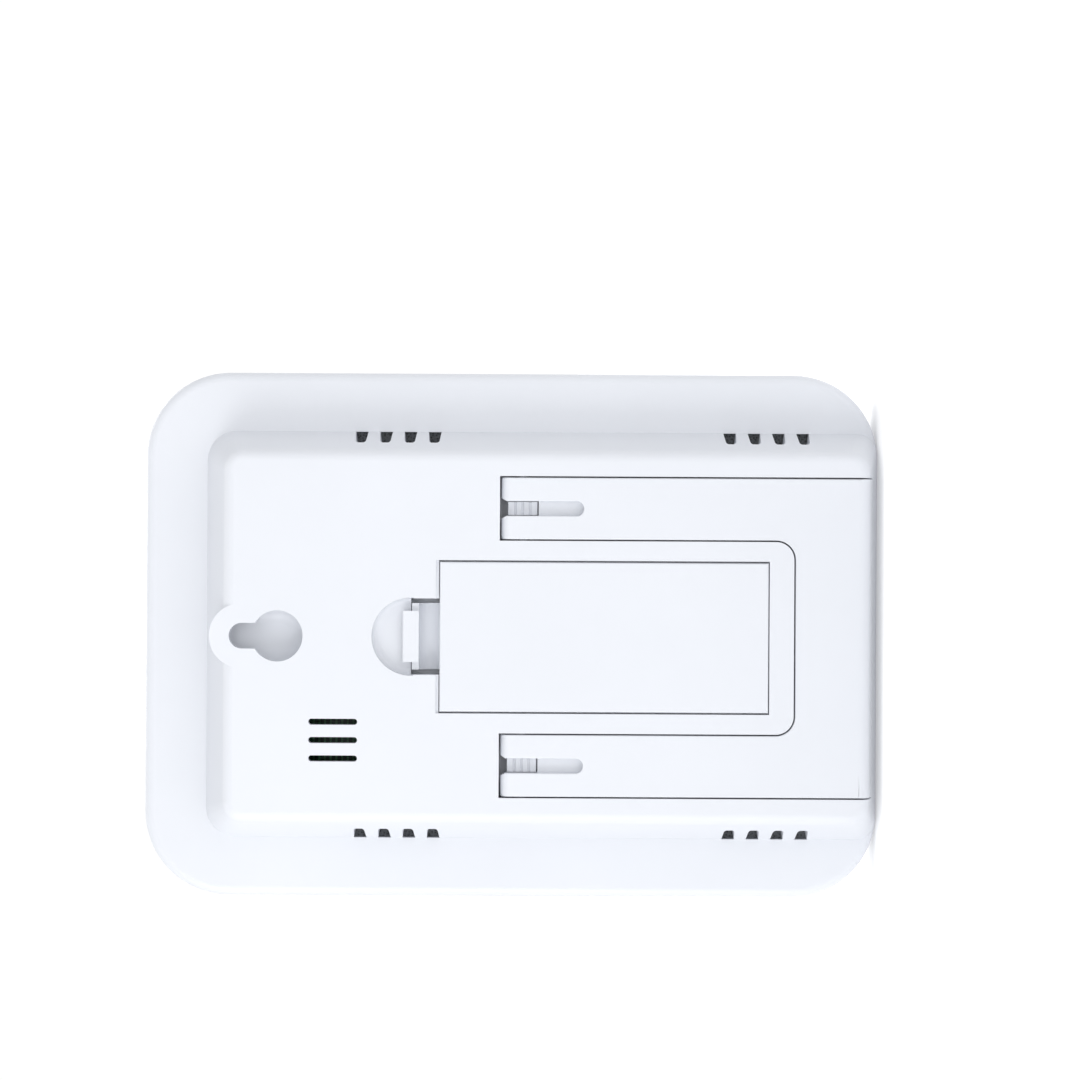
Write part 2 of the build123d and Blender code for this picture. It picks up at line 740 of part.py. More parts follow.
lcd_glass.part.label = "lcd_glass"
export_step(lcd_glass.part, "parts/lcd_glass.step")

with BuildPart() as lcd_holder:
    holder_inner_width = lcd_width + 2 * part_gap
    holder_inner_height = lcd_height + 2 * part_gap
    plate(holder_inner_width + 2 * holder_wall, holder_inner_height + 2 * holder_wall, holder_wall,
          0, window_z, lcd_y, board_front_y)
    block(-holder_inner_width / 2, holder_inner_width / 2, lcd_y, board_front_y,
          window_z - holder_inner_height / 2, window_z + holder_inner_height / 2, Mode.SUBTRACT)

lcd_holder.part.label = "lcd_holder"
export_step(lcd_holder.part, "parts/lcd_holder.step")

with BuildPart() as backlight_panel:
    backlight_half = lcd_height / 2 - strip_width - part_gap
    block(-lcd_width / 2, lcd_width / 2, lcd_back_y, lcd_back_y + backlight_thickness,
          window_z - backlight_half, window_z + backlight_half)

backlight_panel.part.label = "backlight_panel"
export_step(backlight_panel.part, "parts/backlight_panel.step")

with BuildPart() as contact_strips:
    for side in (-1, 1):
        strip_z = window_z + side * (lcd_height - strip_width) / 2
        strip_half = strip_width / 2 - part_gap / 2
        block(-lcd_width / 2, lcd_width / 2, lcd_y + lcd_thickness / 2, board_front_y,
              strip_z - strip_half, strip_z + strip_half)

contact_strips.part.label = "contact_strips"
export_step(contact_strips.part, "parts/contact_strips.step")

# ---------------------------------------------------------------- test button and its switch
switch_front_y = board_front_y - switch_height
plunger_front_y = switch_front_y - plunger_out

with BuildPart() as test_button:
    cap_y = front_y + button_dish_depth / 4
    bar(0, button_z, button_radius, cap_y, front_inner_y + part_gap / 2)
    fillet(test_button.faces().sort_by(Axis.Y)[0].edges(), button_edge_round)
    bar(0, button_z, button_radius + button_flange, front_inner_y + part_gap / 2,
        front_inner_y + button_flange)
    bar(0, button_z, button_stem_radius, front_inner_y + button_flange, plunger_front_y)

test_button.part.label = "test_button"
export_step(test_button.part, "parts/test_button.step")

with BuildPart() as tact_switch:
    block(-switch_size / 2, switch_size / 2, switch_front_y, board_front_y,
          button_z - switch_size / 2, button_z + switch_size / 2)
    bar(0, button_z, plunger_radius + screw_hole_gap, switch_front_y, switch_front_y + switch_height / 2,
        Mode.SUBTRACT)

tact_switch.part.label = "tact_switch"
export_step(tact_switch.part, "parts/tact_switch.step")

with BuildPart() as switch_plunger:
    bar(0, button_z, plunger_radius, plunger_front_y, switch_front_y + switch_height / 2 - 2 * button_travel)

switch_plunger.part.label = "switch_plunger"
export_step(switch_plunger.part, "parts/switch_plunger.step")

# ---------------------------------------------------------------- lamps
led_front_y = board_front_y - led_height
for lamp, place in lamps.items():
    lamp_x = lamp_centre_x + place * lamp_pitch
    with BuildPart() as led:
        block(lamp_x - led_length / 2, lamp_x + led_length / 2, led_front_y, board_front_y,
              lamp_z - led_width / 2, lamp_z + led_width / 2)
    led.part.label = f"led_{lamp}"
    export_step(led.part, f"parts/led_{lamp}.step")

    with BuildPart() as light_pipe:
        bar(lamp_x, lamp_z, lamp_radius, front_y, led_front_y - part_gap)
        fillet(light_pipe.faces().sort_by(Axis.Y)[0].edges(), lamp_radius / 2)
        bar(lamp_x, lamp_z, lamp_collar_radius, front_inner_y, front_inner_y + lamp_radius)
    light_pipe.part.label = f"light_pipe_{lamp}"
    export_step(light_pipe.part, f"parts/light_pipe_{lamp}.step")

# ---------------------------------------------------------------- sounder
case_front_y = front_inner_y + gasket_thickness
disc_radius = sounder_radius - sounder_wall / 2
disc_seat_y = (case_front_y + board_front_y) / 2

with BuildPart() as sounder_gasket:
    bar(sounder_x, sounder_z, sounder_radius, front_inner_y, case_front_y)
    bar(sounder_x, sounder_z, sounder_radius - sounder_wall, front_inner_y, case_front_y, Mode.SUBTRACT)

sounder_gasket.part.label = "sounder_gasket"
export_step(sounder_gasket.part, "parts/sounder_gasket.step")

with BuildPart() as sounder_case:
    bar(sounder_x, sounder_z, sounder_radius, case_front_y, board_front_y)
    bar(sounder_x, sounder_z, sounder_radius - 2 * sounder_wall, case_front_y + sounder_wall,
        board_front_y, Mode.SUBTRACT)
    bar(sounder_x, sounder_z, disc_radius + screw_hole_gap, disc_seat_y, board_front_y, Mode.SUBTRACT)
    bar(sounder_x, sounder_z, 2 * sounder_wall, case_front_y, case_front_y + sounder_wall, Mode.SUBTRACT)

sounder_case.part.label = "sounder_case"
export_step(sounder_case.part, "parts/sounder_case.step")

with BuildPart() as piezo_disc:
    bar(sounder_x, sounder_z, disc_radius, disc_seat_y, disc_seat_y + disc_thickness)

piezo_disc.part.label = "piezo_disc"
export_step(piezo_disc.part, "parts/piezo_disc.step")

# ---------------------------------------------------------------- main board and what it carries
with BuildPart() as main_board:
    plate(board_width, board_height, board_radius, 0, board_z, board_front_y, board_back_y)
    for across_side in (-1, 1):
        for up_side in (-1, 1):
            bar(across_side * posts_x, board_z + up_side * posts_z, screw_radius + part_gap,
                board_front_y, board_back_y, Mode.SUBTRACT)
    for side in (-1, 1):
        contact_slot(side, board_front_y, board_back_y)

main_board.part.label = "main_board"
export_step(main_board.part, "parts/main_board.step")

with BuildPart() as board_screws:
    for across_side in (-1, 1):
        for up_side in (-1, 1):
            screw_x = across_side * posts_x
            screw_z = board_z + up_side * posts_z
            bar(screw_x, screw_z, screw_radius, board_back_y - screw_length, board_back_y)
            bar(screw_x, screw_z, screw_head_radius, board_back_y, board_back_y + screw_head_height)
            for turn in (0, 90):
                with BuildSketch(level(board_back_y + screw_head_height / 2)) as recess:
                    with Locations((screw_x, screw_z)):
                        Rectangle(screw_recess_length, screw_recess_width, rotation=turn)
                extrude(recess.sketch, amount=-screw_head_height, mode=Mode.SUBTRACT)

board_screws.part.label = "board_screws"
export_step(board_screws.part, "parts/board_screws.step")

with BuildPart() as co_sensor:
    bar(sensor_x, sensor_z, sensor_radius, board_back_y, board_back_y + sensor_height)
    fillet(co_sensor.faces().sort_by(Axis.Y)[-1].edges(), sensor_cap_height / 2)

co_sensor.part.label = "co_sensor"
export_step(co_sensor.part, "parts/co_sensor.step")

with BuildPart() as sensor_cap:
    cap_front_y = board_back_y + sensor_height
    cap_back_y = cap_front_y + sensor_cap_height
    bar(sensor_x, sensor_z, sensor_radius - sensor_cap_height, cap_front_y, cap_back_y)
    bar(sensor_x, sensor_z, sensor_cap_height, cap_front_y, cap_back_y, Mode.SUBTRACT)

sensor_cap.part.label = "sensor_cap"
export_step(sensor_cap.part, "parts/sensor_cap.step")

# Foam strips under the rim that cover the vents from inside.
with BuildPart() as vent_screens:
    screen_width = vent_run + 2 * screen_margin
    screen_length = vent_count * vent_pitch
    screen_y = rim_y - cover_wall
    for side in (-1, 1):
        screen_x = side * (hump_foot_half - vent_run / 2)
        for first_z in (lower_vents_z, upper_vents_z):
            screen_z = first_z + (vent_count - 1) / 2 * vent_pitch
            block(screen_x - screen_width / 2, screen_x + screen_width / 2, screen_y - screen_thickness,
                  screen_y, screen_z - screen_length / 2, screen_z + screen_length / 2)

vent_screens.part.label = "vent_screens"
export_step(vent_screens.part, "parts/vent_screens.step")

chip_x = lamp_centre_x - lamp_pitch
with BuildPart() as microcontroller:
    pin_rise = chip_height / 4
    block(chip_x - chip_size / 2, chip_x + chip_size / 2, board_back_y + pin_rise / 2,
          board_back_y + chip_height, lamp_z - chip_size / 2, lamp_z + chip_size / 2)
    for pin in range(chip_pins):
        along = (pin - (chip_pins - 1) / 2) * chip_pin_pitch
        for side in (-1, 1):
            pin_place = side * (chip_size + chip_pin_length / 2) / 2
            with Locations((chip_x + along, board_back_y + pin_rise, lamp_z + pin_place)):
                Box(chip_pin_width, 2 * pin_rise, chip_pin_length)
            with Locations((chip_x + pin_place, board_back_y + pin_rise, lamp_z + along)):
                Box(chip_pin_length, 2 * pin_rise, chip_pin_width)

microcontroller.part.label = "microcontroller"
export_step(microcontroller.part, "parts/microcontroller.step")

with BuildPart() as capacitors:
    for place in (0, 1):
        bar(chip_x - lamp_pitch / 4 + place * lamp_pitch, window_z + chip_size, capacitor_radius,
            board_back_y, board_back_y + capacitor_height)
    fillet(capacitors.edges().filter_by(GeomType.CIRCLE).group_by(Axis.Y)[-1], capacitor_radius / 8)

capacitors.part.label = "capacitors"
export_step(capacitors.part, "parts/capacitors.step")

with BuildPart() as inductor:
    inductor_flange = inductor_height / 5
    bar(-chip_x, window_z + chip_size, inductor_radius, board_back_y, board_back_y + inductor_flange)
    bar(-chip_x, window_z + chip_size, inductor_core_radius, board_back_y, board_back_y + inductor_height)
    bar(-chip_x, window_z + chip_size, inductor_radius,
        board_back_y + inductor_height - inductor_flange, board_back_y + inductor_height)

inductor.part.label = "inductor"
export_step(inductor.part, "parts/inductor.step")

with BuildPart() as crystal:
    with BuildSketch(level(board_back_y)):
        with Locations((chip_x, lamp_z + chip_size)):
            SlotOverall(crystal_length, small_chip_width)
    extrude(amount=-crystal_height)
    fillet(crystal.faces().sort_by(Axis.Y)[-1].edges(), crystal_height / 6)

crystal.part.label = "crystal"
export_step(crystal.part, "parts/crystal.step")

with BuildPart() as small_chips:
    for place in (0, 1, 2):
        chip_middle = place * small_chip_pitch
        block(chip_middle - small_chip_length / 2, chip_middle + small_chip_length / 2,
              board_back_y, board_back_y + chip_height,
              lamp_z - chip_size - small_chip_width / 2, lamp_z - chip_size + small_chip_width / 2)

small_chips.part.label = "small_chips"
export_step(small_chips.part, "parts/small_chips.step")

# ---------------------------------------------------------------- cells and their contacts
nub_up_z = bay_top - contact_plate - 2 * contact_gap
nub_down_z = bay_bottom + contact_plate + 2 * contact_gap


def cell(x, nub_z, direction):
    """One AAA cell whose nub ends at nub_z and points up or down."""
    shoulder_z = nub_z - direction * cell_nub_height
    base_z = nub_z - direction * cell_length
    with BuildSketch(Plane.XY.offset(min(base_z, shoulder_z))) as can:
        with Locations((x, cell_y)):
            Circle(cell_radius)
    extrude(can.sketch, amount=cell_length - cell_nub_height)
    fillet(edges().filter_by(GeomType.CIRCLE), cell_nub_height / 2)
    with BuildSketch(Plane.XY.offset(min(nub_z, shoulder_z))) as nub:
        with Locations((x, cell_y)):
            Circle(cell_nub_radius)
    extrude(nub.sketch, amount=cell_nub_height)


def coil(x, low_z, high_z):
    """A round wire spring between two heights."""
    room = high_z - low_z - 2 * spring_wire - 2 * contact_gap
    foot = (x, cell_y, low_z + spring_wire + contact_gap)
    with BuildLine() as path:
        Helix(room / spring_turns, room, spring_radius, center=foot)
    with BuildSketch(Plane(origin=path.line @ 0, z_dir=path.line % 0)) as wire:
        Circle(spring_wire)
    sweep(wire.sketch, path=path.line)


with BuildPart() as battery_left:
    cell(-cell_pitch / 2, nub_up_z, 1)

battery_left.part.label = "battery_left"
export_step(battery_left.part, "parts/battery_left.step")

with BuildPart() as battery_right:
    cell(cell_pitch / 2, nub_down_z, -1)

battery_right.part.label = "battery_right"
export_step(battery_right.part, "parts/battery_right.step")

contact_foot_y = bay_floor_y + cell_lift
with BuildPart() as bridge_contact:
    bridge_half = (cell_pitch + contact_width) / 2
    block(-bridge_half, bridge_half, contact_foot_y, contact_foot_y + contact_height,
          bay_bottom + contact_gap, bay_bottom + contact_gap + contact_plate)

bridge_contact.part.label = "bridge_contact"
export_step(bridge_contact.part, "parts/bridge_contact.step")

for contact, side in {"positive_contact": -1, "negative_contact": 1}.items():
    contact_x = side * cell_pitch / 2
    contact_top = bay_top - contact_gap
    with BuildPart() as contact_piece:
        block(contact_x - contact_width / 2, contact_x + contact_width / 2, contact_foot_y,
              contact_foot_y + contact_height, contact_top - contact_plate, contact_top)
        block(contact_x - contact_leg_width / 2, contact_x + contact_leg_width / 2,
              board_front_y - contact_plate, contact_foot_y, contact_top - contact_plate, contact_top)
    contact_piece.part.label = contact
    export_step(contact_piece.part, f"parts/{contact}.step")

with BuildPart() as bridge_spring:
    coil(-cell_pitch / 2, bay_bottom + contact_gap + contact_plate, nub_up_z - cell_length)

bridge_spring.part.label = "bridge_spring"
export_step(bridge_spring.part, "parts/bridge_spring.step")

with BuildPart() as negative_spring:
    coil(cell_pitch / 2, nub_down_z + cell_length, bay_top - contact_gap - contact_plate)

negative_spring.part.label = "negative_spring"
export_step(negative_spring.part, "parts/negative_spring.step")
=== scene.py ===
"""Looks for the carbon monoxide alarm: materials, display digits, floor, light and camera."""
import math

import bmesh
import bpy
from mathutils import Matrix, Vector


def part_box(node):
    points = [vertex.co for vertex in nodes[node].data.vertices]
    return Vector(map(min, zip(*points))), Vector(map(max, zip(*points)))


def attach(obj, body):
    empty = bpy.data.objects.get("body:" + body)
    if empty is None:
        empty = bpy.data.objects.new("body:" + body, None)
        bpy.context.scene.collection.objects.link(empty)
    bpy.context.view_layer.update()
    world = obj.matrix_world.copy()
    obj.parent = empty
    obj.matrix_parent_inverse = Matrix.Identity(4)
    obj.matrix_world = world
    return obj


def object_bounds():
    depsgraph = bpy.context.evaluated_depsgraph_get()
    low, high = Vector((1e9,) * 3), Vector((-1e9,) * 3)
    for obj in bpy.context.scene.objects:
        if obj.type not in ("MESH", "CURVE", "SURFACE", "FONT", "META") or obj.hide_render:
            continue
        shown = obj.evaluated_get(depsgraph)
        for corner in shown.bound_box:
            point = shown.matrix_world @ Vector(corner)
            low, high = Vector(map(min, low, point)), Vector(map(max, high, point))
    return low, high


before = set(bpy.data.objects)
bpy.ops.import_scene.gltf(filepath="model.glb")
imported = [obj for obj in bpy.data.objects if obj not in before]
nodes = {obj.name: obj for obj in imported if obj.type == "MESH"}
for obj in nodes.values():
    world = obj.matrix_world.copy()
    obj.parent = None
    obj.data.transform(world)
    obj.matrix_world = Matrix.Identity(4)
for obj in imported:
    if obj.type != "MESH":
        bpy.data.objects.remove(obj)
cad_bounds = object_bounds()

MM = 0.001
WHITE = (0.66, 0.68, 0.725)
CELL_LENGTH = 44.0 * MM
CELL_NUB = 0.9 * MM
SLEEVE_START = 0.012
BAND_END = 0.16
SLEEVE_END = 0.982


# ---------------------------------------------------------------- shader helpers
class Shader:
    """A Principled material that is built up node by node."""

    def __init__(self, name, color, roughness, **sockets):
        self.material = bpy.data.materials.new(name)
        self.material.use_nodes = True
        self.tree = self.material.node_tree
        self.bsdf = self.tree.nodes["Principled BSDF"]
        self.bsdf.inputs["Base Color"].default_value = (*color, 1)
        self.bsdf.inputs["Roughness"].default_value = roughness
        for socket, value in sockets.items():
            self.bsdf.inputs[socket.replace("_", " ")].default_value = value
        self.coords = self.add("ShaderNodeTexCoord").outputs["Object"]
        self.normal = None

    def add(self, kind, **settings):
        node = self.tree.nodes.new(kind)
        for key, value in settings.items():
            setattr(node, key, value)
        return node

    def join(self, source, target):
        self.tree.links.new(source, target)

    def noise(self, scale, detail=3.0, roughness=0.55, stretch=(1, 1, 1)):
        """Noise with features about 1/scale metres across."""
        mapping = self.add("ShaderNodeMapping")
        mapping.inputs["Scale"].default_value = stretch
        self.join(self.coords, mapping.inputs["Vector"])
        noise = self.add("ShaderNodeTexNoise")
        noise.inputs["Scale"].default_value = scale
        noise.inputs["Detail"].default_value = detail
        noise.inputs["Roughness"].default_value = roughness
        self.join(mapping.outputs["Vector"], noise.inputs["Vector"])
        return noise.outputs["Fac"]

    def cells(self, scale):
        """Distance from the middle of each of many small cells, 1/scale metres across."""
        voronoi = self.add("ShaderNodeTexVoronoi", feature="F1")
        voronoi.inputs["Scale"].default_value = scale
        self.join(self.coords, voronoi.inputs["Vector"])
        return voronoi.outputs["Distance"]

    def ramp(self, factor, *stops, sharp=False):
        """A colour ramp from (place, colour) stops; a sharp one steps from colour to colour."""
        ramp = self.add("ShaderNodeValToRGB")
        elements = ramp.color_ramp.elements
        while len(elements) < len(stops):
            elements.new(0.5)
        for element, (place, color) in zip(elements, stops):
            element.position = place
            element.color = (*color, 1)
        if sharp:
            ramp.color_ramp.interpolation = "CONSTANT"
        self.join(factor, ramp.inputs["Fac"])
        return ramp.outputs["Color"]

    def spread(self, factor, low, high):
        """The factor mapped to a range of values."""
        spread = self.add("ShaderNodeMapRange")
        spread.inputs["To Min"].default_value = low
        spread.inputs["To Max"].default_value = high
        self.join(factor, spread.inputs["Value"])
        return spread.outputs["Result"]

    def color(self, source):
        self.join(source, self.bsdf.inputs["Base Color"])

    def rough(self, factor, low, high):
        self.join(self.spread(factor, low, high), self.bsdf.inputs["Roughness"])

    def bump(self, height, distance, strength=1.0):
        """Adds a layer of relief; distance is its depth in metres."""
        bump = self.add("ShaderNodeBump")
        bump.inputs["Distance"].default_value = distance
        bump.inputs["Strength"].default_value = strength
        self.join(height, bump.inputs["Height"])
        if self.normal is not None:
            self.join(self.normal, bump.inputs["Normal"])
        self.normal = bump.outputs["Normal"]
        self.join(self.normal, self.bsdf.inputs["Normal"])


def tint(color, factor):
    return tuple(min(1.0, c * factor) for c in color)


def moulded(name, color, roughness, grain=6000, depth=4e-6, **sockets):
    """Injection-moulded plastic with a fine spark-eroded grain and slight flow marks."""
    shader = Shader(name, color, roughness, **sockets)
    flow = shader.noise(26, detail=4)
    shader.color(shader.ramp(flow, (0.3, tint(color, 0.985)), (0.7, tint(color, 1.012))))
    shader.rough(shader.noise(90, detail=5), roughness - 0.05, roughness + 0.06)
    shader.bump(shader.noise(grain, detail=2, roughness=0.7), depth)
    shader.bump(shader.noise(70, detail=2), 2.5 * depth)
    return shader.material


def metal(name, color, roughness, grain_stretch=(1, 1, 12)):
    """Plated or rolled metal with fine drawn marks."""
    shader = Shader(name, color, roughness, Metallic=1.0)
    marks = shader.noise(2500, detail=3, stretch=grain_stretch)
    shader.color(shader.ramp(shader.noise(140), (0.3, tint(color, 0.86)), (0.7, color)))
    shader.rough(marks, roughness - 0.08, roughness + 0.12)
    shader.bump(marks, 1.5e-6)
    return shader.material


def foam(name, color):
    shader = Shader(name, color, 0.92)
    pores = shader.cells(2600)
    # Painted shade: the colour is darker in the middle of each pore and lighter on the cell walls, following
    # the same pits as the bump.
    shader.color(shader.ramp(pores, (0.1, tint(color, 0.4)), (0.6, tint(color, 1.6))))
    shader.bump(pores, 6e-5)
    return shader.material


def assign(material, *names):
    for name in names:
        mesh = nodes[name].data
        mesh.materials.clear()
        mesh.materials.append(material)


def board():
    """Green solder mask over copper tracks that run in straight lines."""
    green = (0.015, 0.13, 0.055)
    shader = Shader("board_mask", green, 0.32, Coat_Weight=0.3)
    bricks = shader.add("ShaderNodeTexBrick", offset=0.37)
    bricks.inputs["Scale"].default_value = 260
    bricks.inputs["Mortar Size"].default_value = 0.05
    bricks.inputs["Brick Width"].default_value = 1.7
    bricks.inputs["Color1"].default_value = (*green, 1)
    bricks.inputs["Color2"].default_value = (*tint(green, 0.8), 1)
    bricks.inputs["Mortar"].default_value = (0.05, 0.27, 0.11, 1)
    turned = shader.add("ShaderNodeMapping")
    turned.inputs["Rotation"].default_value = (math.pi / 2, 0, 0)
    shader.join(shader.coords, turned.inputs["Vector"])
    shader.join(turned.outputs["Vector"], bricks.inputs["Vector"])
    shader.color(bricks.outputs["Color"])
    shader.rough(shader.noise(80, detail=4), 0.28, 0.38)
    return shader.material


def cell_wrap(name, shoulder_z, direction):
    """A cell's printed sleeve: steel ends, a pale band at the nub's end and a blue-green body."""
    shader = Shader(name, (0.06, 0.19, 0.22), 0.35)
    split = shader.add("ShaderNodeSeparateXYZ")
    shader.join(shader.coords, split.inputs["Vector"])
    along = shader.add("ShaderNodeMapRange")
    along.inputs["From Min"].default_value = shoulder_z
    along.inputs["From Max"].default_value = shoulder_z - direction * CELL_LENGTH
    shader.join(split.outputs["Z"], along.inputs["Value"])
    place = along.outputs["Result"]
    steel = (0.62, 0.61, 0.58)
    bands = shader.ramp(
        place,
        (0.0, steel),
        (SLEEVE_START, (0.56, 0.6, 0.6)),
        (BAND_END, (0.05, 0.18, 0.21)),
        (SLEEVE_END, steel),
        sharp=True,
    )
    shade = shader.add("ShaderNodeMix", data_type="RGBA", blend_type="MULTIPLY")
    shade.inputs["Factor"].default_value = 1.0
    shader.join(bands, shade.inputs[6])
    wear = shader.ramp(shader.noise(150, detail=4), (0.3, (0.88, 0.88, 0.88)), (0.7, (1, 1, 1)))
    shader.join(wear, shade.inputs[7])
    shader.color(shade.outputs[2])
    bare = shader.ramp(
        place, (0.0, (1, 1, 1)), (SLEEVE_START, (0, 0, 0)), (SLEEVE_END, (1, 1, 1)), sharp=True
    )
    shader.join(bare, shader.bsdf.inputs["Metallic"])
    shader.rough(shader.noise(300, detail=3), 0.26, 0.36)
    return shader.material


assign(
    moulded("case_plastic", WHITE, 0.42),
    "front_cover", "rear_cover", "battery_door", "door_latch", "stand",
)
assign(moulded("inner_plastic", (0.8, 0.8, 0.78), 0.5), "lcd_holder", "backlight_panel")
assign(moulded("button_plastic", (0.52, 0.54, 0.58), 0.38), "test_button")
assign(
    moulded("black_plastic", (0.022, 0.022, 0.024), 0.42, grain=4000),
    "tact_switch", "switch_plunger", "sounder_case", "microcontroller", "small_chips", "capacitors",
)
assign(moulded("ferrite", (0.035, 0.034, 0.036), 0.55, grain=5000, depth=1e-5), "inductor")
assign(foam("black_foam", (0.02, 0.02, 0.022)), "window_tape", "contact_strips", "sounder_gasket")
assign(foam("vent_foam", (0.12, 0.125, 0.13)), "vent_screens")
assign(board(), "main_board")
assign(metal("steel", (0.62, 0.62, 0.63), 0.3), "board_screws", "co_sensor", "crystal")
assign(
    metal("nickel", (0.72, 0.69, 0.63), 0.24),
    "bridge_contact", "positive_contact", "negative_contact", "bridge_spring", "negative_spring",
)
assign(metal("brass", (0.78, 0.56, 0.26), 0.3), "piezo_disc")
assign(foam("sensor_filter", (0.5, 0.5, 0.48)), "sensor_cap")
for cell, direction in {"battery_left": 1, "battery_right": -1}.items():
    cell_low, cell_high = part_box(cell)
    nub_z = cell_high[2] if direction > 0 else cell_low[2]
    assign(cell_wrap(cell + "_wrap", nub_z - direction * CELL_NUB, direction), cell)

LAMP_COLORS = {"power": (0.16, 0.62, 0.2), "fault": (0.86, 0.5, 0.06), "alarm": (0.78, 0.05, 0.04)}
for lamp, color in LAMP_COLORS.items():
    pipe = Shader("light_pipe_" + lamp, color, 0.18, Transmission_Weight=0.35, IOR=1.49)
    pipe.color(pipe.ramp(pipe.noise(240), (0.3, tint(color, 0.9)), (0.7, tint(color, 1.1))))
    pipe.rough(pipe.noise(500, detail=3), 0.14, 0.24)
    assign(pipe.material, "light_pipe_" + lamp)
    die = Shader("led_" + lamp, (0.8, 0.74, 0.5), 0.4)
    die.color(die.ramp(die.noise(900), (0.3, (0.74, 0.66, 0.4)), (0.7, (0.82, 0.77, 0.56))))
    assign(die.material, "led_" + lamp)

window = Shader("window_acrylic", (0.5, 0.53, 0.55), 0.04, Alpha=0.2, IOR=1.49, Coat_Weight=1.0)
window.color(window.ramp(window.noise(30), (0.3, (0.48, 0.51, 0.53)), (0.7, (0.53, 0.56, 0.58))))
window.rough(window.noise(120, detail=4), 0.03, 0.07)
assign(window.material, "display_window")

lcd = Shader("lcd_glass", (0.42, 0.47, 0.4), 0.2)
lcd.color(lcd.ramp(lcd.noise(45, detail=2), (0.3, (0.40, 0.455, 0.385)), (0.7, (0.44, 0.49, 0.415))))
lcd.rough(lcd.noise(200, detail=3), 0.16, 0.25)
assign(lcd.material, "lcd_glass")


# ---------------------------------------------------------------- the display's digits and battery sign
SEGMENTS = {"0": "abcdef", "8": "abcdefg"}
DIGIT_HEIGHT = 15.0 * MM
DIGIT_WIDTH = 8.0 * MM
STROKE = 1.6 * MM
SEGMENT_GAP = 0.15 * MM
SLANT = 0.08
INK_DEPTH = 0.05 * MM
DIGIT_PITCH = 11.5 * MM
SIGN_ACROSS = 19.5 * MM
SIGN_UP = 8.0 * MM
# Left, right, bottom and top of each bar in mm: the frame's four sides, its nub and three charge bars.
SIGN_BARS = (
    (-2.2, 2.2, 0.9, 1.2),
    (-2.2, 2.2, -1.2, -0.9),
    (-2.2, -1.9, -0.9, 0.9),
    (1.9, 2.2, -0.9, 0.9),
    (2.25, 2.6, -0.5, 0.5),
    (-1.5, -0.6, -0.6, 0.6),
    (-0.4, 0.5, -0.6, 0.6),
    (0.7, 1.5, -0.6, 0.6),
)


def segment_outline(segment):
    """Corners of one bar of a seven-bar digit, about the digit's centre, as across and up."""
    half_w = DIGIT_WIDTH / 2
    half_h = DIGIT_HEIGHT / 2
    t = STROKE / 2
    g = SEGMENT_GAP
    level_bar = {"a": half_h - t, "g": 0, "d": t - half_h}
    if segment in level_bar:
        up = level_bar[segment]
        reach = half_w - t - g
        above = [(-reach, up), (t - reach, up + t), (reach - t, up + t)]
        below = [(reach, up), (reach - t, up - t), (t - reach, up - t)]
        return above + below
    across = half_w - t if segment in "bc" else t - half_w
    low, high = (g, half_h - t - g) if segment in "bf" else (t + g - half_h, -g)
    right = [(across, low), (across + t, low + t), (across + t, high - t)]
    left = [(across, high), (across - t, high - t), (across - t, low + t)]
    return right + left


def ink(name, outlines, material):
    """Flat printed shapes just in front of the glass, from outlines given across and up."""
    mesh = bmesh.new()
    for outline in outlines:
        face_at = LCD_FACE - INK_DEPTH
        ring = [mesh.verts.new((x, face_at, z)) for x, z in outline]
        face = mesh.faces.new(ring)
        pulled = bmesh.ops.extrude_face_region(mesh, geom=[face])
        pulled_corners = [v for v in pulled["geom"] if isinstance(v, bmesh.types.BMVert)]
        bmesh.ops.translate(mesh, vec=(0, INK_DEPTH, 0), verts=pulled_corners)
    bmesh.ops.recalc_face_normals(mesh, faces=mesh.faces)
    data = bpy.data.meshes.new(name)
    mesh.to_mesh(data)
    mesh.free()
    data.materials.append(material)
    piece = bpy.data.objects.new(name, data)
    bpy.context.scene.collection.objects.link(piece)
    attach(piece, "case")


def placed(outline, x, z):
    """An outline moved to x and z and slanted; +X is to the right when seen from the front."""
    return [(x + across + SLANT * up, z + up) for across, up in outline]


def bar_outline(x0, x1, z0, z1):
    return [(x0, z0), (x1, z0), (x1, z1), (x0, z1)]


def crystal_ink(name, color):
    shader = Shader(name, color, 0.35)
    shader.color(shader.ramp(shader.noise(120), (0.3, tint(color, 0.9)), (0.7, tint(color, 1.1))))
    return shader.material


lcd_low, lcd_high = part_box("lcd_glass")
LCD_FACE = lcd_low[1]
middle_x = (lcd_low[0] + lcd_high[0]) / 2
middle_z = (lcd_low[2] + lcd_high[2]) / 2
dark_ink = crystal_ink("lcd_segments_on", (0.03, 0.035, 0.035))
faint_ink = crystal_ink("lcd_segments_off", (0.345, 0.395, 0.335))
for place in (-1, 0, 1):
    digit_x = middle_x + place * DIGIT_PITCH
    shown = SEGMENTS["0"] if place == 1 else ""
    for label, material in (("on", dark_ink), ("off", faint_ink)):
        outlines = [
            placed(segment_outline(segment), digit_x, middle_z)
            for segment in SEGMENTS["8"]
            if (segment in shown) == (label == "on")
        ]
        if outlines:
            ink(f"digit_{place + 2}_{label}", outlines, material)
sign_x = middle_x + SIGN_ACROSS
sign_z = middle_z + SIGN_UP
sign_outlines = [
    bar_outline(sign_x + left * MM, sign_x + right * MM, sign_z + bottom * MM, sign_z + top * MM)
    for left, right, bottom, top in SIGN_BARS
]
ink("battery_sign", sign_outlines, dark_ink)

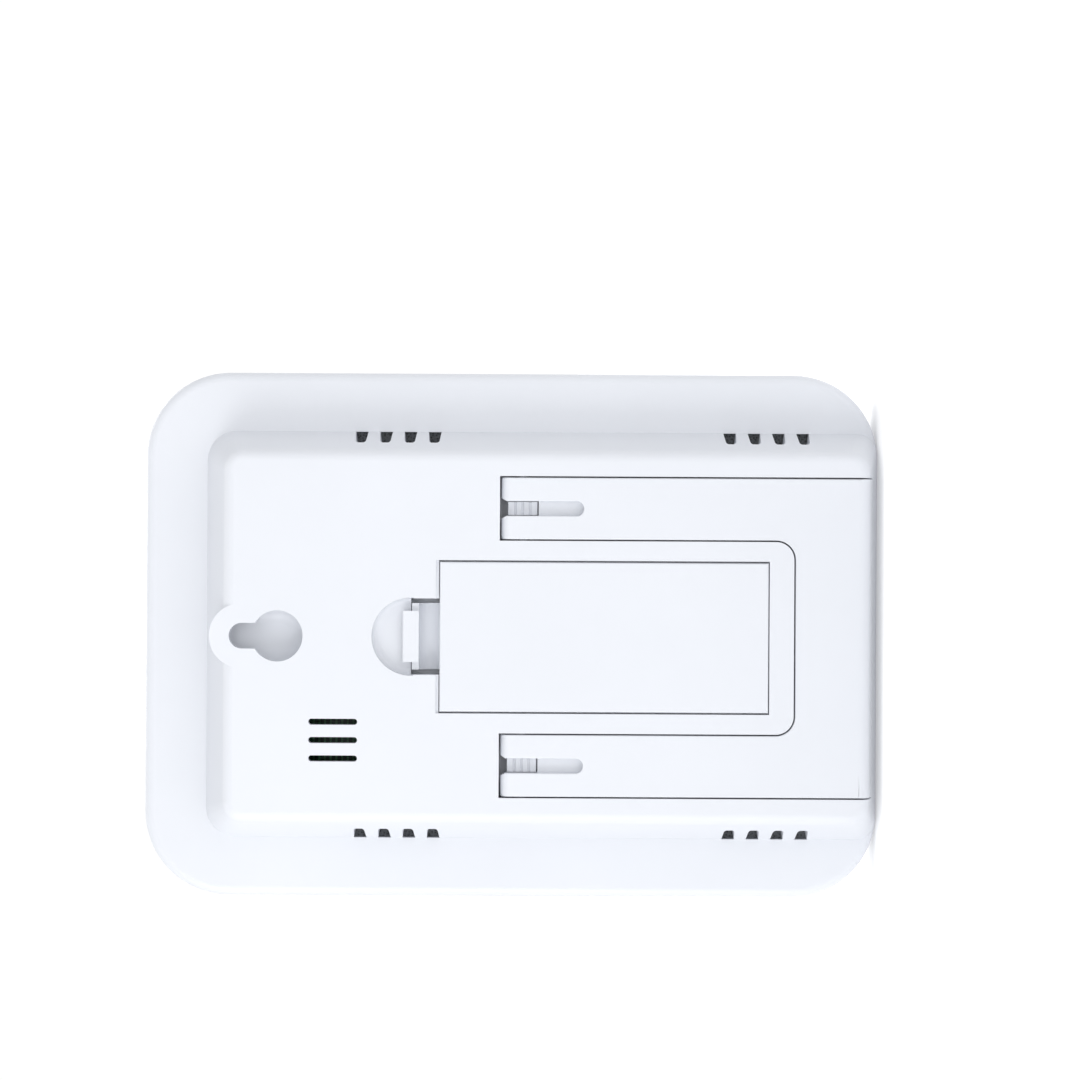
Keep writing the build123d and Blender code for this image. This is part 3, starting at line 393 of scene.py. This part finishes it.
# ---------------------------------------------------------------- floor, light and camera
low, high = (Vector(corner) for corner in cad_bounds)
FLOOR_SIZE = 8.0
FLOOR_GLOW = 0.22
ROOM_SEEN = 1.03
ROOM_LIGHT = 0.69
ROOM_SLANT = (0.06, 0.0, 0.46)
LIGHTS = {
    "key": ((0.65, 0.6, 0.2), 0.4, 2.4),
    "back_fill": ((0.0, 1.25, 0.1), 0.8, 2.1),
    "front_fill": ((-0.3, -1.1, 0.9), 0.8, 6.0),
}


def add_floor():
    mesh = bpy.data.meshes.new("floor")
    half = FLOOR_SIZE / 2
    corners = [(-half, -half, 0), (half, -half, 0), (half, half, 0), (-half, half, 0)]
    mesh.from_pydata(corners, [], [(0, 1, 2, 3)])
    floor = bpy.data.objects.new("floor", mesh)
    bpy.context.scene.collection.objects.link(floor)
    shader = Shader("floor_acrylic", (0.9, 0.9, 0.9), 0.8)
    shader.color(shader.ramp(shader.noise(9), (0.3, (0.89, 0.89, 0.89)), (0.7, (0.91, 0.91, 0.91))))
    shader.bsdf.inputs["Emission Color"].default_value = (1, 1, 1, 1)
    shader.bsdf.inputs["Emission Strength"].default_value = FLOOR_GLOW
    mesh.materials.append(shader.material)


def add_area(name, place, size, power):
    """A square lamp that points at the middle of the object."""
    data = bpy.data.lights.new(name, "AREA")
    data.size = size
    data.energy = power
    light = bpy.data.objects.new(name, data)
    bpy.context.scene.collection.objects.link(light)
    light.location = place
    light.rotation_euler = ((low + high) / 2 - light.location).to_track_quat("-Z", "Y").to_euler()


def add_world():
    """A white room that lights the object a little more from above and from the +X side."""
    world = bpy.data.worlds.new("studio")
    world.use_nodes = True
    tree = world.node_tree
    direction = tree.nodes.new("ShaderNodeTexCoord")
    lean = tree.nodes.new("ShaderNodeVectorMath")
    lean.operation = "DOT_PRODUCT"
    lean.inputs[1].default_value = ROOM_SLANT
    tree.links.new(direction.outputs["Generated"], lean.inputs[0])
    strength = tree.nodes.new("ShaderNodeMath")
    strength.inputs[1].default_value = ROOM_LIGHT
    tree.links.new(lean.outputs["Value"], strength.inputs[0])
    seen = tree.nodes.new("ShaderNodeMix")
    seen.inputs["B"].default_value = ROOM_SEEN
    tree.links.new(strength.outputs["Value"], seen.inputs["A"])
    tree.links.new(tree.nodes.new("ShaderNodeLightPath").outputs["Is Camera Ray"], seen.inputs["Factor"])
    tree.links.new(seen.outputs["Result"], tree.nodes["Background"].inputs["Strength"])
    tree.nodes["Background"].inputs["Color"].default_value = (1, 1, 1, 1)
    bpy.context.scene.world = world


CAMERA_DISTANCE = 0.5
CAMERA_LENS = 100.0
CAMERA_SENSOR = 36.0
CAMERA_ROLL = math.radians(0.3)
RIM_Y = 0.003
AIM = Vector((-0.0159, RIM_Y, 0.05626))


def add_camera():
    """Square on to the back, lying on its side as the object does in the reference view."""
    data = bpy.data.cameras.new("camera")
    data.lens = CAMERA_LENS
    data.sensor_width = CAMERA_SENSOR
    camera = bpy.data.objects.new("camera", data)
    bpy.context.scene.collection.objects.link(camera)
    axes = Matrix(((0, -1, 0), (0, 0, 1), (-1, 0, 0))).to_4x4()
    camera.matrix_world = Matrix.Translation(AIM + Vector((0, CAMERA_DISTANCE, 0))) @ axes @ Matrix.Rotation(
        CAMERA_ROLL, 4, "Z"
    )
    bpy.context.scene.camera = camera


add_floor()
add_world()
for light, (place, size, power) in LIGHTS.items():
    add_area(light, place, size, power)
add_camera()
bpy.context.scene.view_settings.view_transform = "Standard"
